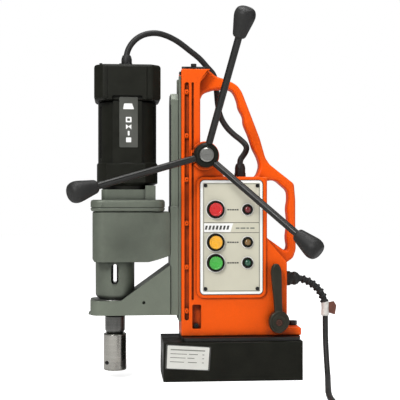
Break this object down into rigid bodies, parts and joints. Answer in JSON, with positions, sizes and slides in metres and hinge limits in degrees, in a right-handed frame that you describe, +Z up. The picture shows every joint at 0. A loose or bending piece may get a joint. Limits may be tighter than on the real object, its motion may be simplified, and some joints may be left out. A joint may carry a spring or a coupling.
{
  "type": "magnetic drill press",
  "caption": "Portable drill press on an electromagnet base: cast frame with two handles, motor and gearbox on a vertical slide, arbor, push-button panel and three-arm capstan feed.",
  "frame": {"origin": "centre of the magnet's underside", "axes": "+Z up, along the slide's travel and the spindle; +X from the spindle towards the rear handle; -Y is the side with the push buttons and the capstan"},
  "size_m": [0.417, 0.501, 0.5673],
  "materials": {
    "orange_paint": "semi-gloss enamel on cast metal",
    "magnet_paint": "dark paint, worn",
    "black_steel": "black oxide",
    "cast_aluminium": "satin casting",
    "steel": "ground",
    "dark_steel": "oiled",
    "brass": "satin",
    "copper": "varnished winding",
    "black_plastic": "fine grain",
    "resin": "cast",
    "cream_panel": "printed, satin",
    "label_paper": "printed",
    "board": "circuit board",
    "rubber": "matt",
    "red_plastic": "gloss",
    "yellow_plastic": "gloss",
    "green_plastic": "gloss",
    "lamp_plastic": "clear lens"
  },
  "bodies": {
    "magnet_base": {"magnet_housing": "magnet_paint", "magnet_coil": "copper", "magnet_potting": "resin", "rating_label": "label_paper", "swivel_plate": "dark_steel", "pivot_pin": "steel"},
    "frame": {"frame_casting": "orange_paint", "top_plate": "black_steel", "top_plate_screw": "dark_steel", "way_plate": "cast_aluminium", "gib_strip": "brass", "control_panel": "cream_panel", "control_board": "board", "motor_button_body": "black_plastic", "motor_pilot_light": "lamp_plastic", "magnet_button_body": "black_plastic", "magnet_pilot_light": "lamp_plastic", "feed_button_body": "black_plastic", "feed_pilot_light": "lamp_plastic", "foot_bolt": "dark_steel", "tie_bolt": "steel", "motor_lead": "rubber", "box_gland": "black_plastic", "mains_gland": "black_plastic", "strain_relief": "rubber", "mains_cord": "rubber", "mains_coil": "rubber", "mains_plug": "black_plastic"},
    "carriage": {"slide_plate": "cast_aluminium", "rack": "steel", "gearbox_housing": "cast_aluminium", "gearbox_cover": "cast_aluminium", "spindle_housing": "cast_aluminium", "arbor_bracket": "cast_aluminium", "motor_housing": "black_plastic", "field_winding": "copper", "motor_cap": "black_plastic", "motor_gland": "black_plastic"},
    "capstan": {"pinion_shaft": "steel", "feed_hub": "black_steel", "hub_nut": "steel", "feed_arm_1": "black_steel", "feed_grip_1": "black_plastic", "feed_arm_2": "black_steel", "feed_grip_2": "black_plastic", "feed_arm_3": "black_steel", "feed_grip_3": "black_plastic"},
    "clamp": {"clamp_lever": "black_steel", "clamp_shaft": "dark_steel"},
    "armature": {"armature_shaft": "steel", "armature_core": "copper", "commutator": "copper", "cooling_fan": "black_plastic"},
    "layshaft": {"layshaft_gears": "steel"},
    "spindle_assembly": {"spindle": "dark_steel", "spindle_gear": "steel", "arbor_sleeve": "steel"},
    "motor_button": {"motor_button_cap": "red_plastic"},
    "magnet_button": {"magnet_button_cap": "yellow_plastic"},
    "feed_button": {"feed_button_cap": "green_plastic"}
  },
  "joints": [
    {"name": "base_swivel", "type": "hinge", "parent": "magnet_base", "child": "frame", "pos_m": [-0.056, 0, 0.065], "axis": [0, 0, 1], "range_deg": [-15, 15]},
    {"name": "carriage_slide", "type": "slide", "parent": "frame", "child": "carriage", "axis": [0, 0, 1], "range_m": [-0.01, 0.14], "deforming": ["motor_lead"]},
    {"name": "capstan_turn", "type": "hinge", "parent": "frame", "child": "capstan", "pos_m": [-0.0445, 0, 0.3535], "axis": [0, 1, 0], "range_deg": [-41, 573.1]},
    {"name": "clamp_turn", "type": "hinge", "parent": "frame", "child": "clamp", "pos_m": [0.072, 0, 0.0915], "axis": [0, 1, 0], "range_deg": [0, 90]},
    {"name": "armature_spin", "type": "hinge", "parent": "carriage", "child": "armature", "pos_m": [-0.1655, 0, 0.38], "axis": [0, 0, 1], "continuous": true},
    {"name": "layshaft_spin", "type": "hinge", "parent": "carriage", "child": "layshaft", "pos_m": [-0.1629, 0.02386, 0.22], "axis": [0, 0, 1], "continuous": true},
    {"name": "spindle_spin", "type": "hinge", "parent": "carriage", "child": "spindle_assembly", "pos_m": [-0.185, 0, 0.2], "axis": [0, 0, 1], "continuous": true},
    {"name": "motor_press", "type": "slide", "parent": "frame", "child": "motor_button", "axis": [0, 1, 0], "range_m": [0, 0.003], "stiffness_N_per_m": 300, "springref_m": -0.004},
    {"name": "magnet_press", "type": "slide", "parent": "frame", "child": "magnet_button", "axis": [0, 1, 0], "range_m": [0, 0.003], "stiffness_N_per_m": 300, "springref_m": -0.004},
    {"name": "feed_press", "type": "slide", "parent": "frame", "child": "feed_button", "axis": [0, 1, 0], "range_m": [0, 0.003], "stiffness_N_per_m": 300, "springref_m": -0.004}
  ],
  "couplings": [
    {"joint": "capstan_turn", "follows": "carriage_slide", "rad_per_m": 71.429},
    {"joint": "layshaft_spin", "follows": "armature_spin", "ratio": -0.2},
    {"joint": "spindle_spin", "follows": "armature_spin", "ratio": 0.047619}
  ]
}
